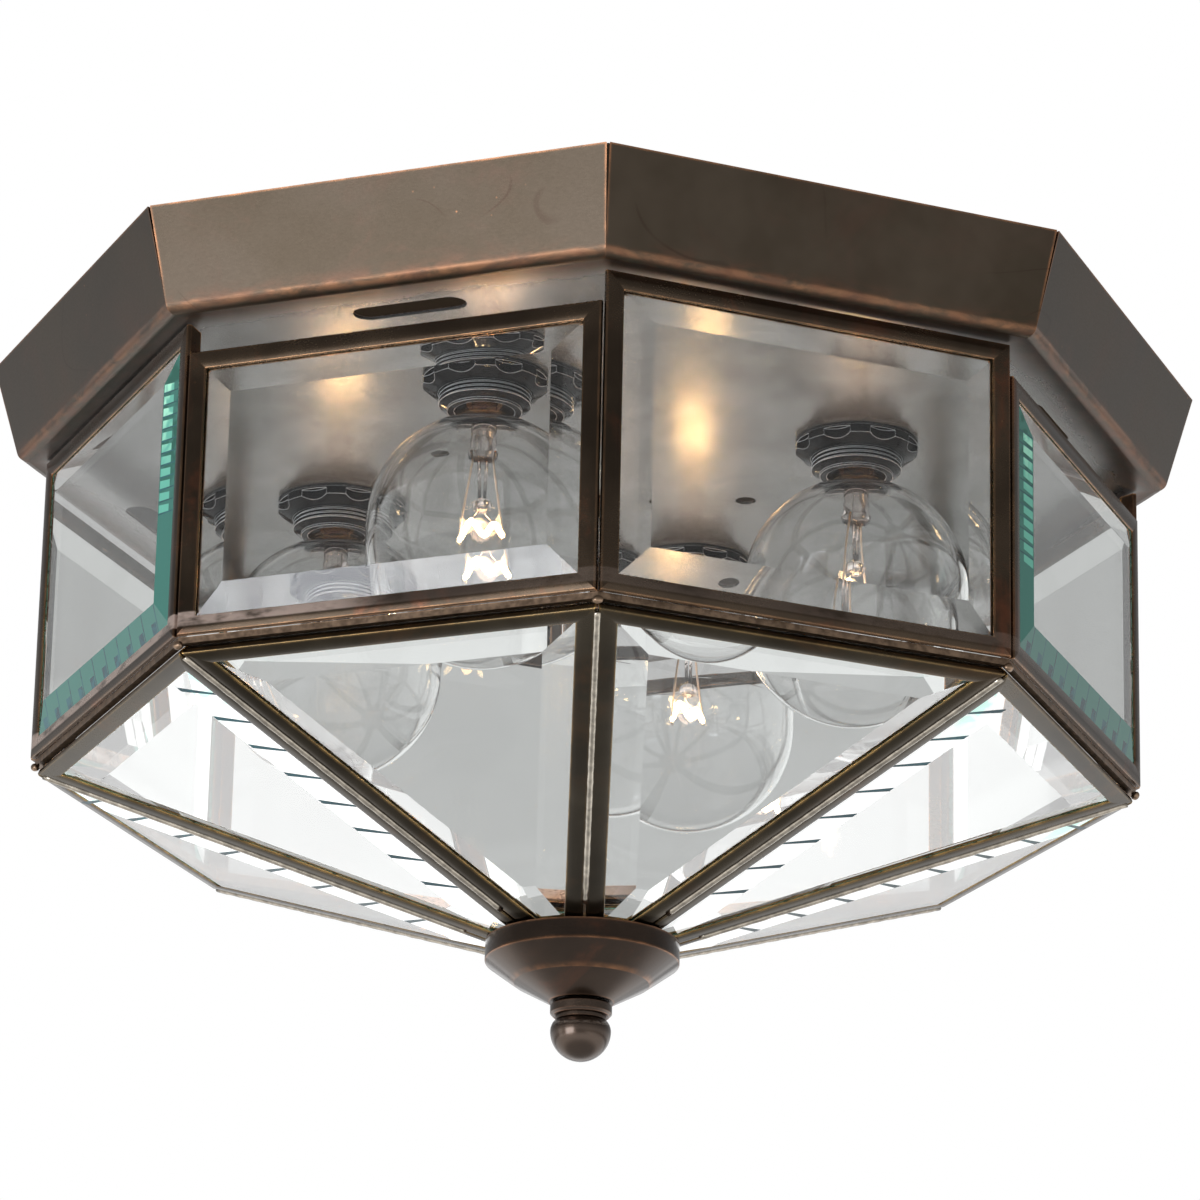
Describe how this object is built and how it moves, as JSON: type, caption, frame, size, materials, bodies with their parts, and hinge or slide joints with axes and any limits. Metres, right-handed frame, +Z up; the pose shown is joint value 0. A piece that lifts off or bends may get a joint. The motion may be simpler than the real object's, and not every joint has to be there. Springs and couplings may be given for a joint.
{
  "type": "flush mount ceiling light",
  "caption": "Octagonal flush mount ceiling light: folded metal pan, glass cage of bevelled panes in dark metal channels, screw-in globe lamps, and a centre rod with cap and finial.",
  "frame": {"origin": "centre of the ceiling plane, in the top face of the mounting strap and of the pan's rim", "axes": "+Z up to the ceiling, along the centre rod; +X along the mounting strap; the shorter glass panels face -Y, +X, +Y and -X"},
  "size_m": [0.267, 0.267, 0.1681],
  "materials": {
    "pan": "antique bronze, satin, worn copper at the folds and a paler satin base",
    "frame": "dark antique bronze, gold at the worn edges",
    "cap": "dark antique bronze, satin",
    "finial": "dark antique bronze, polished",
    "hub": "turned brass, dull",
    "solder": "bronze coloured solder",
    "panel_glass": "clear, bevelled",
    "lamp_glass": "clear, thin",
    "lamp_base": "polished",
    "filament": "wire on a glass stem",
    "holder": "black, glossy",
    "contact": "bright",
    "lead": "insulation, satin",
    "connector": "matte",
    "rod": "bronzed steel",
    "hidden_steel": "zinc plated"
  },
  "bodies": {
    "fixture": {"ceiling_pan": "pan", "mounting_strap": "hidden_steel", "centre_rod": "rod", "fasteners": "hidden_steel", "lamp_holder_1": "holder", "lamp_holder_2": "holder", "lamp_holder_3": "holder", "lamp_holder_4": "holder", "holder_rings": "holder", "holder_contacts": "contact", "socket_leads": "lead", "wire_connectors": "connector"},
    "cage": {"side_frame_1": "frame", "side_frame_2": "frame", "side_frame_3": "frame", "side_frame_4": "frame", "side_frame_5": "frame", "side_frame_6": "frame", "side_frame_7": "frame", "side_frame_8": "frame", "side_glass_1": "panel_glass", "side_glass_2": "panel_glass", "side_glass_3": "panel_glass", "side_glass_4": "panel_glass", "side_glass_5": "panel_glass", "side_glass_6": "panel_glass", "side_glass_7": "panel_glass", "side_glass_8": "panel_glass", "lower_frame_1": "frame", "lower_frame_2": "frame", "lower_frame_3": "frame", "lower_frame_4": "frame", "lower_frame_5": "frame", "lower_frame_6": "frame", "lower_frame_7": "frame", "lower_frame_8": "frame", "lower_glass_1": "panel_glass", "lower_glass_2": "panel_glass", "lower_glass_3": "panel_glass", "lower_glass_4": "panel_glass", "lower_glass_5": "panel_glass", "lower_glass_6": "panel_glass", "lower_glass_7": "panel_glass", "lower_glass_8": "panel_glass", "waist_ring": "solder", "bottom_cap": "cap", "cap_hub": "hub"},
    "finial": {"finial": "finial"},
    "lamp_1": {"lamp_globe_1": "lamp_glass", "lamp_base_1": "lamp_base", "lamp_filament_1": "filament"},
    "lamp_2": {"lamp_globe_2": "lamp_glass", "lamp_base_2": "lamp_base", "lamp_filament_2": "filament"},
    "lamp_3": {"lamp_globe_3": "lamp_glass", "lamp_base_3": "lamp_base", "lamp_filament_3": "filament"},
    "lamp_4": {"lamp_globe_4": "lamp_glass", "lamp_base_4": "lamp_base", "lamp_filament_4": "filament"}
  },
  "joints": [
    {"name": "cage_drop", "type": "slide", "parent": "fixture", "child": "cage", "axis": [0, 0, -1], "range_m": [0, 0.145]},
    {"name": "finial_turn", "type": "hinge", "parent": "cage", "child": "finial", "pos_m": [0, 0, -0.158], "axis": [0, 0, -1], "range_deg": [0, 2520]},
    {"name": "lamp_1_turn", "type": "hinge", "parent": "fixture", "child": "lamp_1", "pos_m": [0, -0.066, -0.0237], "axis": [0, 0, -1], "range_deg": [0, 1080]},
    {"name": "lamp_2_turn", "type": "hinge", "parent": "fixture", "child": "lamp_2", "pos_m": [0.066, 0, -0.0237], "axis": [0, 0, -1], "range_deg": [0, 1080]},
    {"name": "lamp_3_turn", "type": "hinge", "parent": "fixture", "child": "lamp_3", "pos_m": [0, 0.066, -0.0237], "axis": [0, 0, -1], "range_deg": [0, 1080]},
    {"name": "lamp_4_turn", "type": "hinge", "parent": "fixture", "child": "lamp_4", "pos_m": [-0.066, 0, -0.0237], "axis": [0, 0, -1], "range_deg": [0, 1080]}
  ]
}
